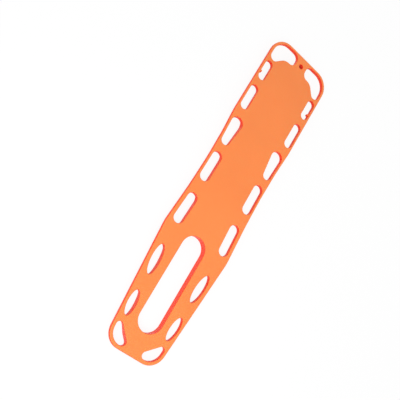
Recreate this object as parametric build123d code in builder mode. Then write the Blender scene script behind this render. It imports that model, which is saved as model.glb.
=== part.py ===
from build123d import *
from math import cos, degrees, radians, tan
import os

# Spine board: a foam-filled board of moulded polyethylene for lifting and carrying a patient.
# Millimetres. X runs across the board, Y from the foot to the head, Z is up.
# The origin is under the middle of the board, on the plane that it lies on.

# The board as a whole
board_length = 1840
board_thickness = 45
rim_thickness = 24
wall = 4
part_gap = 0.3
top_rim_round = 7
hole_round = 4.5
under_hole_round = 3
keel_round = 8

# How much of a side its two corner rounds may take where they have to be cut down
side_use = 0.995

# The outline, as half-widths at stations measured from the head edge or the foot edge
head_half_width = 207
shoulder_from_head = 518
shoulder_half_width = 203.5
chest_from_head = 658
chest_half_width = 193.5
waist_from_head = 820
waist_half_width = 189
loin_from_foot = 845
loin_half_width = 192
hip_from_foot = 621
hip_half_width = 204
foot_half_width = 150.5
head_corner_round = 95
shoulder_round = 400
chest_round = 900
waist_round = 1500
hip_round = 250
foot_corner_round = 85

# Hand holes: the middle's station, the length, the width at each end, and the bar left outside
neck_from_head = 230
neck_length = 124
neck_width = 45.5
neck_bar = 13.5
upper_arm_from_head = 415.5
upper_arm_length = 154
upper_arm_width = 48.5
upper_arm_bar = 12.5
chest_hole_from_head = 633.5
chest_hole_length = 173
chest_hole_head_width = 70.5
chest_hole_foot_width = 50.5
chest_hole_bar = 14
elbow_from_head = 857.5
elbow_length = 175
elbow_width = 57
elbow_bar = 13.5
hip_hole_from_foot = 728
hip_hole_length = 175
hip_hole_width = 57
hip_hole_bar = 22
thigh_from_foot = 438.5
thigh_length = 158
thigh_width = 50
thigh_bar = 22.5
shin_from_foot = 210
shin_length = 127
shin_width = 46
shin_bar = 17

# The small nib on the outer wall of each neck hole, which keeps a strap at the hole's end
nib_from_head = 249
nib_reach = 9
nib_width = 12
nib_round = 3
nib_top_round = 1.5

# The curved hole in each head corner
head_bar = 14.5
corner_side_bar = 17
head_hole_inner = 38
head_hole_depth = 79
head_hole_length = 136
head_hole_inner_round = 33
head_hole_tip_width = 39
head_hole_tip_outer_round = 28
head_hole_tip_inner_round = 24
head_hole_lean = 51
head_hole_shoulder_round = 57

# The three-cornered hole in each foot corner
foot_bar = 19
foot_side_bar = 17.5
foot_hole_inner = 20.5
foot_hole_length = 119
foot_hole_tip_round = 16.5
foot_hole_inner_round = 19.5

# The leg slot and the hanging hole
slot_from_foot = 123.5
slot_length = 523.5
slot_width = 135
hanging_from_head = 55
hanging_radius = 13
hanging_boss_radius = 24
hanging_boss_drop = 14
boss_draft = 15

# The keel: the deep middle of the board, which lies on the floor
keel_slope = 45
keel_from_head = 130
keel_head_half_width = 136
keel_shoulder_from_head = 505
keel_waist_from_head = 560
keel_waist_half_width = 127
keel_hip_from_foot = 590
keel_leg_from_foot = 500
keel_leg_half_width = 130
keel_ankle_from_foot = 140
keel_ankle_half_width = 118
keel_from_foot = 32
keel_foot_half_width = 85
keel_head_corner = 70
keel_shoulder_corner = 90
keel_leg_corner = 200
keel_ankle_corner = 70
keel_foot_corner = 40

# The shallow panels in the keel's underside, with a rib between each two
panel_count = 5
panel_depth = 7
panel_half_width = 68
panel_corner = 22
panel_slope = 30
rib_width = 26
panel_head_margin = 48
panel_slot_margin = 34

# The stiffening tubes inside and the plugs in their ends
tube_radius = 10
tube_wall = 2
tube_apart = 176
tube_from_head = 158
tube_from_foot = 128
cap_flange = 2.5
cap_plug_length = 14
cap_gap = 0.1
cap_wall = 1.5
cap_round = 1

# The plugs in the underside
fill_plug_radius = 14
vent_plug_radius = 6
plug_flange_width = 4
plug_flange_thickness = 2
plug_dish_depth = 0.8
plug_dish_margin = 3
plug_gap = 0.1

# Stations and heights worked out from the sizes above
head_edge = board_length / 2
foot_edge = -board_length / 2
rim_bottom = board_thickness - rim_thickness
thinnest_bar = min(neck_bar, upper_arm_bar, chest_hole_bar, elbow_bar, corner_side_bar, head_bar)
rim_round = min(top_rim_round, rim_thickness / 2 - 1)
hole_edge_round = min(hole_round, thinnest_bar - rim_round - 0.5)
outline_corners = [
    (head_half_width, head_edge, head_corner_round),
    (shoulder_half_width, head_edge - shoulder_from_head, shoulder_round),
    (chest_half_width, head_edge - chest_from_head, chest_round),
    (waist_half_width, head_edge - waist_from_head, waist_round),
    (loin_half_width, foot_edge + loin_from_foot, waist_round),
    (hip_half_width, foot_edge + hip_from_foot, hip_round),
    (foot_half_width, foot_edge, foot_corner_round),
]
keel_corners = [
    (keel_head_half_width, head_edge - keel_from_head, keel_head_corner),
    (keel_head_half_width, head_edge - keel_shoulder_from_head, keel_shoulder_corner),
    (keel_waist_half_width, head_edge - keel_waist_from_head, keel_shoulder_corner),
    (keel_waist_half_width, foot_edge + keel_hip_from_foot, keel_leg_corner),
    (keel_leg_half_width, foot_edge + keel_leg_from_foot, keel_leg_corner),
    (keel_ankle_half_width, foot_edge + keel_ankle_from_foot, keel_ankle_corner),
    (keel_foot_half_width, foot_edge + keel_from_foot, keel_foot_corner),
]
slot_middle = foot_edge + slot_from_foot + slot_length / 2
slot_head_end = foot_edge + slot_from_foot + slot_length
panel_band = head_edge - keel_from_head - panel_head_margin - slot_head_end - panel_slot_margin
panel_pitch = (panel_band + rib_width) / panel_count
panel_length = panel_pitch - rib_width
panel_middle = slot_head_end + panel_slot_margin + panel_band / 2
hanging_y = head_edge - hanging_from_head
tube_x = tube_apart / 2
tube_z = (panel_depth + board_thickness) / 2
tube_length = board_length - tube_from_head - tube_from_foot
tube_middle = (head_edge - tube_from_head + foot_edge + tube_from_foot) / 2
plug_names = ["vent_plug_foot", "fill_plug", "vent_plug_head"]
end_panel_reach = panel_pitch * (panel_count - 1) / 2
plug_places = [
    (0, panel_middle - end_panel_reach, vent_plug_radius),
    (0, panel_middle, fill_plug_radius),
    (0, panel_middle + end_panel_reach, vent_plug_radius),
]


def half_width(y):
    """The outline's half-width at a station, between its corner points."""
    for (x1, y1, _), (x2, y2, _) in zip(outline_corners, outline_corners[1:]):
        if y2 <= y <= y1:
            return x1 + (x2 - x1) * (y1 - y) / (y1 - y2)
    raise ValueError(f"station {y} is off the board")


# Profiles. Each takes an inset: 0 for the outer skin, more for a skin that far inside the plastic


def fitted_rounds(points, rounds):
    """The rounds at a closed outline's corners, less where a side is too short for both of its own."""
    corners = [Vector(*point) for point in points]
    sides = [after - corner for corner, after in zip(corners, corners[1:] + corners[:1])]
    turns = [sides[i - 1].get_angle(side) for i, side in enumerate(sides)]
    reaches = [r * tan(radians(turn / 2)) for r, turn in zip(rounds, turns)]
    shares = []
    for i, side in enumerate(sides):
        reach = reaches[i] + reaches[(i + 1) % len(reaches)]
        shares.append(min(1, side_use * side.length / reach) if reach else 1)
    return [r * min(shares[i - 1], shares[i]) for i, r in enumerate(rounds)]


def mirrored_outline(corners, inset):
    """A closed outline through rounded corners, the same on both sides of the middle."""
    corners = sorted(corners, key=lambda corner: corner[1], reverse=True)
    right = [(x, y) for x, y, _ in corners]
    points = [(0, right[0][1])] + right + [(0, right[-1][1])]
    rounds = fitted_rounds(points, [0] + [r for _, _, r in corners] + [0])
    with BuildSketch() as outline:
        with BuildLine():
            FilletPolyline(*points, radius=rounds[1:-1])
            mirror(about=Plane.YZ)
        make_face()
        if inset:
            offset(amount=-inset)
    return outline.sketch


def hull_hole(head_y, foot_y, head_radius, foot_radius, bar, inset):
    """A long hole with round ends that runs beside the outline at the width of its grip bar."""
    with BuildSketch() as hole:
        with Locations((half_width(head_y) - bar - head_radius, head_y)):
            Circle(head_radius + inset)
        with Locations((half_width(foot_y) - bar - foot_radius, foot_y)):
            Circle(foot_radius + inset)
        make_hull()
    return hole.sketch


def slot_hole(middle, length, head_width, foot_width, bar, inset):
    head_y = middle + length / 2 - head_width / 2
    foot_y = middle - length / 2 + foot_width / 2
    return hull_hole(head_y, foot_y, head_width / 2, foot_width / 2, bar, inset)


def oval_hole(middle, length, width, bar, inset):
    """A long oval that leans as the outline does beside it."""
    x = half_width(middle) - bar - width / 2
    lean = half_width(middle + length / 2) - half_width(middle - length / 2)
    with BuildSketch() as hole:
        with Locations((x, middle)):
            Ellipse(width / 2 + inset, length / 2 + inset, rotation=-degrees(lean / length))
    return hole.sketch


def cornered_hole(points, rounds, inset):
    with BuildSketch() as hole:
        with BuildLine():
            FilletPolyline(*points, radius=fitted_rounds(points, rounds), close=True)
        make_face()
        if inset:
            offset(amount=inset)
    return hole.sketch


def head_corner_hole(inset):
    right = head_half_width - corner_side_bar
    top = head_edge - head_bar
    shoulder = top - head_hole_depth
    bottom = top - head_hole_length
    points = [
        (head_hole_inner, top),
        (right, top),
        (right, bottom),
        (right - head_hole_tip_width, bottom),
        (right - head_hole_tip_width - head_hole_lean, shoulder),
        (head_hole_inner, shoulder),
    ]
    rounds = [
        head_hole_inner_round,
        head_corner_round - head_bar,
        head_hole_tip_outer_round,
        head_hole_tip_inner_round,
        head_hole_shoulder_round,
        head_hole_inner_round,
    ]
    return cornered_hole(points, rounds, inset)


def foot_corner_hole(inset):
    bottom = foot_edge + foot_bar
    top = bottom + foot_hole_length
    points = [
        (half_width(top) - foot_side_bar, top),
        (half_width(bottom) - foot_side_bar, bottom),
        (foot_hole_inner, bottom),
    ]
    rounds = [foot_hole_tip_round, foot_corner_round - foot_bar, foot_hole_inner_round]
    return cornered_hole(points, rounds, inset)


def all_holes(inset):
    """Every opening that goes through the board, on both sides."""
    with BuildSketch() as holes:
        add(slot_hole(head_edge - neck_from_head, neck_length, neck_width, neck_width, neck_bar, inset))
        add(slot_hole(head_edge - upper_arm_from_head, upper_arm_length, upper_arm_width,
                      upper_arm_width, upper_arm_bar, inset))
        add(slot_hole(head_edge - chest_hole_from_head, chest_hole_length, chest_hole_head_width,
                      chest_hole_foot_width, chest_hole_bar, inset))
        add(slot_hole(head_edge - elbow_from_head, elbow_length, elbow_width, elbow_width,
                      elbow_bar, inset))
        add(slot_hole(foot_edge + hip_hole_from_foot, hip_hole_length, hip_hole_width,
                      hip_hole_width, hip_hole_bar, inset))
        add(oval_hole(foot_edge + thigh_from_foot, thigh_length, thigh_width, thigh_bar, inset))
        add(oval_hole(foot_edge + shin_from_foot, shin_length, shin_width, shin_bar, inset))
        add(head_corner_hole(inset))
        add(foot_corner_hole(inset))
        mirror(about=Plane.YZ)
        with Locations((0, slot_middle)):
            SlotOverall(slot_length + 2 * inset, slot_width + 2 * inset, rotation=90)
        with Locations((0, hanging_y)):
            Circle(hanging_radius + inset)
    return holes.sketch


def board_form(inset):
    """The board's whole form, or the space left when a skin of the inset's thickness is taken off."""
    slope_inset = inset / cos(radians(keel_slope)) - inset * tan(radians(keel_slope))
    panel_side_inset = inset / cos(radians(panel_slope))
    with BuildPart() as form:
        with BuildSketch(Plane.XY.offset(rim_bottom + inset)):
            add(mirrored_outline(outline_corners, inset))
        extrude(amount=rim_thickness - 2 * inset)
        if rim_round > inset:
            rim_edges = form.edges().group_by(Axis.Z)[0] + form.edges().group_by(Axis.Z)[-1]
            fillet(rim_edges, radius=rim_round - inset)

        with BuildSketch(Plane.XY.offset(rim_bottom + inset)):
            add(mirrored_outline(keel_corners, slope_inset))
        extrude(amount=-rim_bottom, taper=keel_slope)
        if keel_round > inset:
            fillet(form.edges().group_by(Axis.Z)[0], radius=keel_round - inset)

        with BuildSketch():
            with Locations((0, panel_middle)):
                with GridLocations(1, panel_pitch, 1, panel_count):
                    RectangleRounded(2 * (panel_half_width + panel_side_inset),
                                     panel_length + 2 * panel_side_inset,
                                     panel_corner + panel_side_inset)
        extrude(amount=panel_depth + inset, taper=panel_slope, mode=Mode.SUBTRACT)

        with BuildSketch():
            add(all_holes(inset))
        extrude(amount=board_thickness, mode=Mode.SUBTRACT)
    return form.part


def strap_nib():
    """A nib on the outer wall of a neck hole, as deep as the flat part of the bar beside it."""
    nib_y = head_edge - nib_from_head
    wall_x = half_width(nib_y) - neck_bar
    with BuildPart() as nib:
        with BuildSketch(Plane.XY.offset(rim_bottom + under_hole_round)):
            with Locations((wall_x - nib_reach, nib_y)):
                Rectangle(nib_reach + wall / 2, nib_width, align=(Align.MIN, Align.CENTER))
        extrude(amount=rim_thickness - under_hole_round - hole_edge_round)
        tip = nib.faces().sort_by(Axis.X)[0]
        fillet(tip.edges().filter_by(Axis.Z), radius=nib_round)
        fillet(nib.faces().sort_by(Axis.Z)[-1].edges(), radius=nib_top_round)
    return nib.part


def plug_seat(radius, clearance):
    """The hole that an underside plug goes through, with room for it in the foam behind."""
    with BuildPart() as seat:
        with BuildSketch():
            Circle(radius + clearance)
        extrude(amount=panel_depth + wall + part_gap)
    return seat.part


# The shell: one moulding, hollow, with a tunnel round each hole
hollow = board_form(wall)
with BuildPart() as shell:
    add(board_form(0))
    with BuildSketch(Plane.XY.offset(rim_bottom)):
        with Locations((0, hanging_y)):
            Circle(hanging_boss_radius)
    extrude(amount=-hanging_boss_drop, taper=boss_draft)
    with BuildSketch():
        with Locations((0, hanging_y)):
            Circle(hanging_radius)
    extrude(amount=board_thickness, mode=Mode.SUBTRACT)
    deck = shell.faces().sort_by(Axis.Z)[-1]
    fillet([edge for hole in deck.inner_wires() for edge in hole.edges()], radius=hole_edge_round)
    under_edges = [
        edge
        for face in shell.faces().filter_by(Plane.XY)
        if abs(face.center().Z - rim_bottom) < 0.1
        for hole in face.inner_wires()
        if abs(hole.bounding_box().center().X) > hanging_radius
        for edge in hole.edges()
    ]
    fillet(under_edges, radius=under_hole_round)
    nib = strap_nib()
    add(nib)
    add(mirror(nib, about=Plane.YZ, mode=Mode.PRIVATE))
    add(hollow, mode=Mode.SUBTRACT)
    for x, y, radius in plug_places:
        with Locations((x, y)):
            add(plug_seat(radius, plug_gap), mode=Mode.SUBTRACT)
shell.part.label = "shell"

# The foam core: fills the hollow, with a bore for each stiffening tube
with BuildPart() as foam_core:
    add(board_form(wall + part_gap))
    with BuildSketch(Plane.XZ.offset(-(tube_middle + tube_length / 2 + part_gap))):
        with Locations((-tube_x, tube_z), (tube_x, tube_z)):
            Circle(tube_radius + part_gap)
    extrude(amount=tube_length + 2 * part_gap, mode=Mode.SUBTRACT)
foam_core.part.label = "foam_core"


def stiffener(x):
    """A stiffening tube on one side of the middle, without its end plugs."""
    with BuildPart() as tube:
        with BuildSketch(Plane.XZ.offset(-(tube_middle + tube_length / 2 - cap_flange))):
            with Locations((x, tube_z)):
                Circle(tube_radius)
                Circle(tube_radius - tube_wall, mode=Mode.SUBTRACT)
        extrude(amount=tube_length - 2 * cap_flange)
    return tube.part


def tube_cap(x, end):
    """A plug for a tube's end: a flange against the rim of the tube and a hollow stem inside it."""
    flange_y = tube_middle + end * (tube_length / 2 - cap_flange)
    facing = Plane((x, flange_y, tube_z), x_dir=(1, 0, 0), z_dir=(0, end, 0))
    stem_radius = tube_radius - tube_wall - cap_gap
    with BuildPart() as cap:
        with BuildSketch(facing):
            Circle(tube_radius)
        extrude(amount=cap_flange)
        fillet(cap.edges().sort_by(Axis.Y, reverse=end > 0)[0], radius=cap_round)
        with BuildSketch(facing):
            Circle(stem_radius)
            Circle(stem_radius - cap_wall, mode=Mode.SUBTRACT)
        extrude(amount=-cap_plug_length)
    return cap.part


def underside_plug(x, y, radius):
    """A welded plug: a domed flange in the panel and a stem that fills the hole in the shell."""
    with BuildPart() as plug:
        with BuildSketch(Plane.XY.offset(panel_depth)):
            with Locations((x, y)):
                Circle(radius + plug_flange_width)
        extrude(amount=-plug_flange_thickness)
        fillet(plug.faces().sort_by(Axis.Z)[0].edges(), radius=plug_flange_thickness / 2)
        with BuildSketch(Plane.XY.offset(panel_depth)):
            with Locations((x, y)):
                Circle(radius)
        extrude(amount=wall)
        with BuildSketch(Plane.XY.offset(panel_depth - plug_flange_thickness)):
            with Locations((x, y)):
                Circle(radius - plug_dish_margin)
        extrude(amount=plug_dish_depth, mode=Mode.SUBTRACT)
    return plug.part


pieces = {"shell": shell.part, "foam_core": foam_core.part}
for side, x in (("left", -tube_x), ("right", tube_x)):
    pieces[f"stiffener_tube_{side}"] = stiffener(x)
    pieces[f"tube_cap_head_{side}"] = tube_cap(x, 1)
    pieces[f"tube_cap_foot_{side}"] = tube_cap(x, -1)
for name, (x, y, radius) in zip(plug_names, plug_places):
    pieces[name] = underside_plug(x, y, radius)

os.makedirs("parts", exist_ok=True)
for name, piece in pieces.items():
    piece.label = name
    export_step(piece, f"parts/{name}.step")
    print(name, round(piece.volume), piece.is_valid, len(piece.solids()), len(piece.faces()))
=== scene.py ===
import math

import bmesh
import bpy
from bpy.props import FloatProperty, FloatVectorProperty, PointerProperty
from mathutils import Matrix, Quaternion, Vector

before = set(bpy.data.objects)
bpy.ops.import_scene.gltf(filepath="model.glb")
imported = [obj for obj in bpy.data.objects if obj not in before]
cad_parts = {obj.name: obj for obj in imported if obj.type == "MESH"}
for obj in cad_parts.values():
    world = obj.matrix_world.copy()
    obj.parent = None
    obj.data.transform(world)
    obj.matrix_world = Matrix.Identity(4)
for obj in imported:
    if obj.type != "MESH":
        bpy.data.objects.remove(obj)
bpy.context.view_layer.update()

bl_info = {
    "name": "Spine Board",
    "version": (1, 0, 0),
    "blender": (4, 5, 0),
    "location": "View3D > Sidebar > Spine Board",
    "description": "Finishes the moulded board and its inner pieces, and sets up the stage",
    "category": "Object",
}

MILLIMETRE = 0.001

# How far a face's normal points up or down where it starts to be a wall, which gets painted shade, and where
# it is deck
STEEP = 0.35
LEVEL = 0.95

# Most of a noise's values lie between these two
NOISE_LOW = 0.3
NOISE_HIGH = 0.7

# How far red, green and blue light go into the orange plastic, as shares of its glow depth
GLOW_REACH = (1.0, 0.3, 0.12)


def colour_property(name, description, default):
    return FloatVectorProperty(
        name=name, description=description, subtype="COLOR", size=3, min=0.0, max=1.0, default=default
    )


def share_property(name, description, default):
    return FloatProperty(
        name=name, description=description, subtype="FACTOR", min=0.0, max=1.0, default=default
    )


def length_property(name, description, default):
    return FloatProperty(
        name=name, description=description, subtype="DISTANCE", unit="LENGTH", min=0.0, default=default
    )


def place_property(name, description, default):
    return FloatVectorProperty(
        name=name, description=description, subtype="TRANSLATION", size=3, default=default
    )


class ShellFinish(bpy.types.PropertyGroup):
    deck_colour: colour_property(
        "Deck colour", "Colour of the grained faces that look up or down", (0.93, 0.25, 0.061)
    )
    # Painted shade: the walls round the holes and the rim get this deeper red in place of the shade and red
    # bounce light that falls there
    shaded_wall_colour: colour_property(
        "Wall colour", "Deeper colour of the smooth walls round the holes and the rim", (0.93, 0.055, 0.01)
    )
    drift_size: length_property("Drift size", "Width of one patch of the colour's drift", 0.35)
    mottling: share_property("Mottling", "How far the colour drifts over the board", 0.05)
    roughness: share_property("Roughness", "Roughness of the moulded plastic", 0.42)
    sheen_change: share_property("Sheen change", "How far the roughness drifts either way", 0.05)
    speck_size: length_property("Speck size", "Width of one patch of the sheen", 6 * MILLIMETRE)
    grain_size: length_property("Grain size", "Width of one pip of the deck's grain", 1.2 * MILLIMETRE)
    grain_depth: length_property("Grain depth", "Height of the deck's grain", 0.05 * MILLIMETRE)
    glow_depth: length_property("Glow depth", "How deep light goes into the plastic", 4 * MILLIMETRE)
    glow: share_property("Glow", "Share of the light that goes into the plastic", 0.2)
    gloss: share_property("Gloss", "Strength of the plastic's reflection", 0.3)


class InnerFinish(bpy.types.PropertyGroup):
    foam_colour: colour_property("Foam colour", "Colour of the foam core", (0.80, 0.66, 0.38))
    foam_cell: length_property("Foam cell", "Width of one cell of the foam", 0.8 * MILLIMETRE)
    foam_depth: length_property("Foam depth", "Depth of the foam's cells", 0.2 * MILLIMETRE)
    foam_shade: share_property("Foam shade", "How dark the bottom of a cell is", 0.7)
    tube_colour: colour_property("Tube colour", "Colour of the glass-fibre tubes", (0.50, 0.55, 0.40))
    strand_width: length_property("Strand width", "Width of one glass strand", 1.5 * MILLIMETRE)
    strand_depth: length_property("Strand depth", "Height of the strands", 0.05 * MILLIMETRE)
    strand_squeeze: share_property("Strand squeeze", "A strand's width as a share of its length", 0.02)
    cap_colour: colour_property("Cap colour", "Colour of the caps in the tube ends", (0.02, 0.02, 0.02))
    cap_grain: length_property("Cap grain", "Width of one patch of the caps' sheen", 1 * MILLIMETRE)
    plug_colour: colour_property("Plug colour", "Colour of the welded plugs below", (0.80, 0.13, 0.03))
    plug_grain: length_property("Plug grain", "Width of one pip on the plugs", 2 * MILLIMETRE)
    plug_depth: length_property("Plug depth", "Height of the plugs' grain", 0.03 * MILLIMETRE)


class StageSetup(bpy.types.PropertyGroup):
    floor_size: length_property("Floor size", "Side of the square floor", 40.0)
    floor_colour: colour_property("Floor colour", "Colour of the floor", (0.92, 0.92, 0.92))
    floor_glow: share_property("Floor glow", "Share of plain white that the camera sees in the floor", 0.9)
    ambient: FloatProperty(name="Ambient", description="Strength of the light from all round", default=0.9)
    foot_light: FloatProperty(
        name="Foot light", description="Power of the soft lamp over the foot end", unit="POWER", default=21.0
    )
    light_width: length_property("Light width", "Width of the round lamp over the foot end", 1.6)
    light_place: place_property("Light place", "Where the lamp hangs", (-0.6, -1.6, 1.8))
    light_aim: place_property("Light aim", "The point that the lamp faces", (0.0, -0.4, 0.0))
    lens: FloatProperty(
        name="Lens", description="Focal length for a 36 mm frame", subtype="DISTANCE_CAMERA", default=47.55
    )
    camera_place: place_property("Camera place", "Where the camera stands", (-1.0392, -0.881, 2.369))
    camera_aim: place_property(
        "Camera aim", "The point that the camera looks at", (-0.1052, -0.1162, 0.045)
    )
    camera_roll: FloatProperty(
        name="Camera roll", description="Turn of the camera about its line of sight", subtype="ANGLE",
        default=math.radians(85.226),
    )


class MaterialMaker:
    """Builds one node material around a Principled shader, reading Object coordinates."""

    def __init__(self, name):
        self.material = bpy.data.materials.new(name)
        self.material.use_nodes = True
        self.tree = self.material.node_tree
        self.tree.nodes.clear()
        self.output = self.tree.nodes.new("ShaderNodeOutputMaterial")
        self.shader = self.tree.nodes.new("ShaderNodeBsdfPrincipled")
        self.tree.links.new(self.shader.outputs["BSDF"], self.output.inputs["Surface"])
        self.place = self.tree.nodes.new("ShaderNodeTexCoord")

    def put(self, node, socket, value):
        """Links an output socket, or sets a plain value."""
        if isinstance(value, bpy.types.NodeSocket):
            self.tree.links.new(value, node.inputs[socket])
        else:
            node.inputs[socket].default_value = value

    def noise(self, width, detail=3.0, stretch=None):
        node = self.tree.nodes.new("ShaderNodeTexNoise")
        node.inputs["Scale"].default_value = 1.0 / width
        node.inputs["Detail"].default_value = detail
        source = self.place.outputs["Object"]
        if stretch:
            mapping = self.tree.nodes.new("ShaderNodeMapping")
            mapping.inputs["Scale"].default_value = stretch
            self.tree.links.new(source, mapping.inputs["Vector"])
            source = mapping.outputs["Vector"]
        self.tree.links.new(source, node.inputs["Vector"])
        return node.outputs["Fac"]

    def cells(self, width):
        node = self.tree.nodes.new("ShaderNodeTexVoronoi")
        node.inputs["Scale"].default_value = 1.0 / width
        self.tree.links.new(self.place.outputs["Object"], node.inputs["Vector"])
        return node.outputs["Distance"]

    def axis(self, output, letter):
        node = self.tree.nodes.new("ShaderNodeSeparateXYZ")
        self.tree.links.new(self.place.outputs[output], node.inputs["Vector"])
        return node.outputs[letter]

    def math(self, operation, first, second=0.0):
        node = self.tree.nodes.new("ShaderNodeMath")
        node.operation = operation
        self.put(node, 0, first)
        self.put(node, 1, second)
        return node.outputs[0]

    def spread(self, value, low, high, to_low=0.0, to_high=1.0):
        """Maps low..high smoothly to to_low..to_high."""
        node = self.tree.nodes.new("ShaderNodeMapRange")
        node.interpolation_type = "SMOOTHSTEP"
        self.tree.links.new(value, node.inputs["Value"])
        limits = {"From Min": low, "From Max": high, "To Min": to_low, "To Max": to_high}
        for socket, number in limits.items():
            node.inputs[socket].default_value = number
        return node.outputs["Result"]

    def blend(self, share, first, second, mode="MIX"):
        node = self.tree.nodes.new("ShaderNodeMix")
        node.data_type = "RGBA"
        node.blend_type = mode
        self.put(node, "Factor", share)
        for socket, colour in zip((6, 7), (first, second)):
            if isinstance(colour, bpy.types.NodeSocket):
                self.tree.links.new(colour, node.inputs[socket])
            else:
                node.inputs[socket].default_value = (*colour, 1.0)
        return node.outputs[2]

    def bump(self, height, depth):
        node = self.tree.nodes.new("ShaderNodeBump")
        node.inputs["Distance"].default_value = depth
        self.tree.links.new(height, node.inputs["Height"])
        self.tree.links.new(node.outputs["Normal"], self.shader.inputs["Normal"])

    def set(self, **values):
        for name, value in values.items():
            self.put(self.shader, name.replace("_", " "), value)


def shaded(colour, share):
    """The colour made darker or paler by a share, no brighter than white."""
    return tuple(min(1.0, share * part) for part in colour)


def assign(nodes, material):
    """Gives CAD nodes a material in each of their slots."""
    for name in nodes:
        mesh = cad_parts[name].data
        if not mesh.materials:
            mesh.materials.append(material)
        for index in range(len(mesh.materials)):
            mesh.materials[index] = material


def moulded_plastic(finish):
    """Orange polyethylene: grained on the deck and smooth on the walls, with painted shade that makes the
    walls a deeper red than the paler deck.
    """
    maker = MaterialMaker("moulded_polyethylene")
    facing = maker.math("ABSOLUTE", maker.axis("Normal", "Z"))
    unshaded_deck_share = maker.spread(facing, STEEP, LEVEL)
    drift = maker.noise(finish.drift_size, detail=2.0)
    speck = maker.noise(finish.speck_size, detail=4.0)
    # Painted shade: faces that turn from level towards upright take the deeper wall red in place of the
    # shade inside the holes and on the rim
    colour = maker.blend(unshaded_deck_share, tuple(finish.shaded_wall_colour), tuple(finish.deck_colour))
    shade = maker.spread(drift, NOISE_LOW, NOISE_HIGH, 1.0 - finish.mottling, 1.0)
    grey = maker.tree.nodes.new("ShaderNodeCombineColor")
    for channel in ("Red", "Green", "Blue"):
        maker.put(grey, channel, shade)
    colour = maker.blend(1.0, colour, grey.outputs["Color"], mode="MULTIPLY")
    pips = maker.noise(finish.grain_size, detail=1.0)
    grain = maker.math("MULTIPLY", pips, unshaded_deck_share)
    maker.bump(grain, finish.grain_depth)
    smoothest = finish.roughness - finish.sheen_change
    roughest = finish.roughness + finish.sheen_change
    roughness = maker.spread(speck, NOISE_LOW, NOISE_HIGH, smoothest, roughest)
    maker.set(Base_Color=colour, Roughness=roughness, Specular_IOR_Level=finish.gloss)
    maker.set(Subsurface_Weight=finish.glow, Subsurface_Scale=finish.glow_depth)
    maker.shader.inputs["Subsurface Radius"].default_value = GLOW_REACH
    return maker.material


class SPINEBOARD_OT_finish_shell(bpy.types.Operator):
    """Give the moulded shell its plastic"""

    bl_idname = "spineboard.finish_shell"
    bl_label = "Finish Shell"

    def execute(self, context):
        assign(["shell"], moulded_plastic(context.scene.shell_finish))
        return {"FINISHED"}


class SPINEBOARD_OT_finish_plugs(bpy.types.Operator):
    """Give the welded plugs in the underside their plastic"""

    bl_idname = "spineboard.finish_plugs"
    bl_label = "Finish Plugs"

    def execute(self, context):
        finish = context.scene.inner_finish
        maker = MaterialMaker("plug_plastic")
        speck = maker.noise(finish.plug_grain)
        pale = shaded(finish.plug_colour, 1.12)
        maker.set(Base_Color=maker.blend(speck, tuple(finish.plug_colour), pale))
        maker.set(Roughness=maker.spread(speck, NOISE_LOW, NOISE_HIGH, 0.42, 0.55))
        maker.bump(speck, finish.plug_depth)
        assign(["fill_plug", "vent_plug_head", "vent_plug_foot"], maker.material)
        return {"FINISHED"}


class SPINEBOARD_OT_finish_core(bpy.types.Operator):
    """Give the foam core its closed cells, with painted shade in their hollows"""

    bl_idname = "spineboard.finish_core"
    bl_label = "Finish Foam Core"

    def execute(self, context):
        finish = context.scene.inner_finish
        maker = MaterialMaker("rigid_foam")
        cell = maker.cells(finish.foam_cell)
        # Painted shade: the bottom of each foam cell, where the bump makes a hollow, is darkened
        painted_cell_shade = shaded(finish.foam_colour, finish.foam_shade)
        maker.set(Base_Color=maker.blend(cell, painted_cell_shade, tuple(finish.foam_colour)))
        maker.set(Roughness=0.9)
        maker.bump(cell, finish.foam_depth)
        assign(["foam_core"], maker.material)
        return {"FINISHED"}


class SPINEBOARD_OT_finish_tubes(bpy.types.Operator):
    """Give the stiffening tubes their laminate and their caps a black plastic"""

    bl_idname = "spineboard.finish_tubes"
    bl_label = "Finish Tubes"

    def execute(self, context):
        finish = context.scene.inner_finish
        maker = MaterialMaker("glass_fibre")
        strands = maker.noise(finish.strand_width, stretch=(1.0, finish.strand_squeeze, 1.0))
        pale = shaded(finish.tube_colour, 1.3)
        maker.set(Base_Color=maker.blend(strands, tuple(finish.tube_colour), pale))
        maker.set(Roughness=maker.spread(strands, NOISE_LOW, NOISE_HIGH, 0.3, 0.45))
        maker.bump(strands, finish.strand_depth)
        assign(["stiffener_tube_left", "stiffener_tube_right"], maker.material)
        caps = MaterialMaker("cap_plastic")
        speck = caps.noise(finish.cap_grain)
        caps.set(Base_Color=(*finish.cap_colour, 1.0))
        caps.set(Roughness=caps.spread(speck, NOISE_LOW, NOISE_HIGH, 0.35, 0.5))
        assign([f"tube_cap_{end}_{side}" for end in ("head", "foot") for side in ("left", "right")],
               caps.material)
        return {"FINISHED"}


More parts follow.
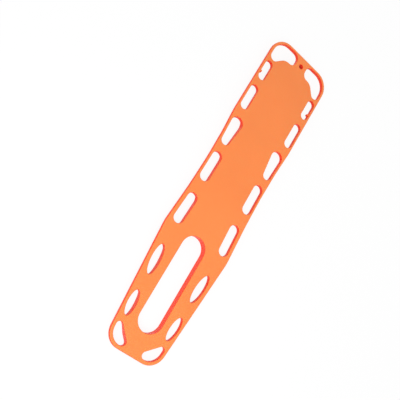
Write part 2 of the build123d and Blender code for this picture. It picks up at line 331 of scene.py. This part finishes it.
class SPINEBOARD_OT_set_stage(bpy.types.Operator):
    """Lay the floor, light the board softly and stand the camera where the photograph was taken"""

    bl_idname = "spineboard.set_stage"
    bl_label = "Set Stage"

    def execute(self, context):
        setup = context.scene.stage_setup
        self.lay_floor(context, setup)
        self.light(context, setup)
        self.stand_camera(context, setup)
        context.scene.view_settings.view_transform = "Standard"
        return {"FINISHED"}

    def lay_floor(self, context, setup):
        shape = bmesh.new()
        bmesh.ops.create_grid(shape, x_segments=1, y_segments=1, size=setup.floor_size / 2)
        mesh = bpy.data.meshes.new("floor")
        shape.to_mesh(mesh)
        shape.free()
        floor = bpy.data.objects.new("floor", mesh)
        context.scene.collection.objects.link(floor)
        material = bpy.data.materials.new("pale_floor")
        material.use_nodes = True
        tree = material.node_tree
        tree.nodes.clear()
        output = tree.nodes.new("ShaderNodeOutputMaterial")
        matt = tree.nodes.new("ShaderNodeBsdfDiffuse")
        matt.inputs["Color"].default_value = (*setup.floor_colour, 1.0)
        plain = tree.nodes.new("ShaderNodeEmission")
        path = tree.nodes.new("ShaderNodeLightPath")
        seen = tree.nodes.new("ShaderNodeMath")
        seen.operation = "MAXIMUM"
        tree.links.new(path.outputs["Is Camera Ray"], seen.inputs[0])
        tree.links.new(path.outputs["Is Glossy Ray"], seen.inputs[1])
        share = tree.nodes.new("ShaderNodeMath")
        share.operation = "MULTIPLY"
        share.inputs[1].default_value = setup.floor_glow
        tree.links.new(seen.outputs[0], share.inputs[0])
        mix = tree.nodes.new("ShaderNodeMixShader")
        tree.links.new(share.outputs[0], mix.inputs["Fac"])
        tree.links.new(matt.outputs["BSDF"], mix.inputs[1])
        tree.links.new(plain.outputs["Emission"], mix.inputs[2])
        tree.links.new(mix.outputs["Shader"], output.inputs["Surface"])
        mesh.materials.append(material)

    def light(self, context, setup):
        world = bpy.data.worlds.new("soft_white")
        world.use_nodes = True
        background = world.node_tree.nodes["Background"]
        background.inputs["Color"].default_value = (1.0, 1.0, 1.0, 1.0)
        background.inputs["Strength"].default_value = setup.ambient
        context.scene.world = world
        lamp = bpy.data.lights.new("foot_light", "AREA")
        lamp.shape = "DISK"
        lamp.size = setup.light_width
        lamp.energy = setup.foot_light
        light = bpy.data.objects.new("foot_light", lamp)
        context.scene.collection.objects.link(light)
        light.location = setup.light_place
        aim = Vector(setup.light_aim) - Vector(setup.light_place)
        light.rotation_euler = aim.to_track_quat("-Z", "Y").to_euler()

    def stand_camera(self, context, setup):
        lens = bpy.data.cameras.new("camera")
        lens.lens = setup.lens
        camera = bpy.data.objects.new("camera", lens)
        context.scene.collection.objects.link(camera)
        camera.location = setup.camera_place
        sight = Vector(setup.camera_aim) - Vector(setup.camera_place)
        roll = Quaternion((0.0, 0.0, 1.0), setup.camera_roll)
        camera.rotation_mode = "QUATERNION"
        camera.rotation_quaternion = sight.to_track_quat("-Z", "Y") @ roll
        context.scene.camera = camera


class SPINEBOARD_PT_panel(bpy.types.Panel):
    """Sizes, colours and steps of the spine board"""

    bl_idname = "SPINEBOARD_PT_panel"
    bl_label = "Spine Board"
    bl_space_type = "VIEW_3D"
    bl_region_type = "UI"
    bl_category = "Spine Board"

    def draw(self, context):
        for group in (context.scene.shell_finish, context.scene.inner_finish, context.scene.stage_setup):
            box = self.layout.box()
            for name in group.__annotations__:
                box.prop(group, name)
        for step in STEPS:
            self.layout.operator(step.bl_idname)


STEPS = (
    SPINEBOARD_OT_finish_shell,
    SPINEBOARD_OT_finish_plugs,
    SPINEBOARD_OT_finish_core,
    SPINEBOARD_OT_finish_tubes,
    SPINEBOARD_OT_set_stage,
)
CLASSES = (ShellFinish, InnerFinish, StageSetup, *STEPS, SPINEBOARD_PT_panel)


def register():
    for item in CLASSES:
        bpy.utils.register_class(item)
    bpy.types.Scene.shell_finish = PointerProperty(type=ShellFinish)
    bpy.types.Scene.inner_finish = PointerProperty(type=InnerFinish)
    bpy.types.Scene.stage_setup = PointerProperty(type=StageSetup)


def unregister():
    for name in ("stage_setup", "inner_finish", "shell_finish"):
        delattr(bpy.types.Scene, name)
    for item in reversed(CLASSES):
        bpy.utils.unregister_class(item)


def main():
    register()
    bpy.ops.spineboard.finish_shell()
    bpy.ops.spineboard.finish_plugs()
    bpy.ops.spineboard.finish_core()
    bpy.ops.spineboard.finish_tubes()
    bpy.ops.spineboard.set_stage()


if __name__ == "__main__":
    main()
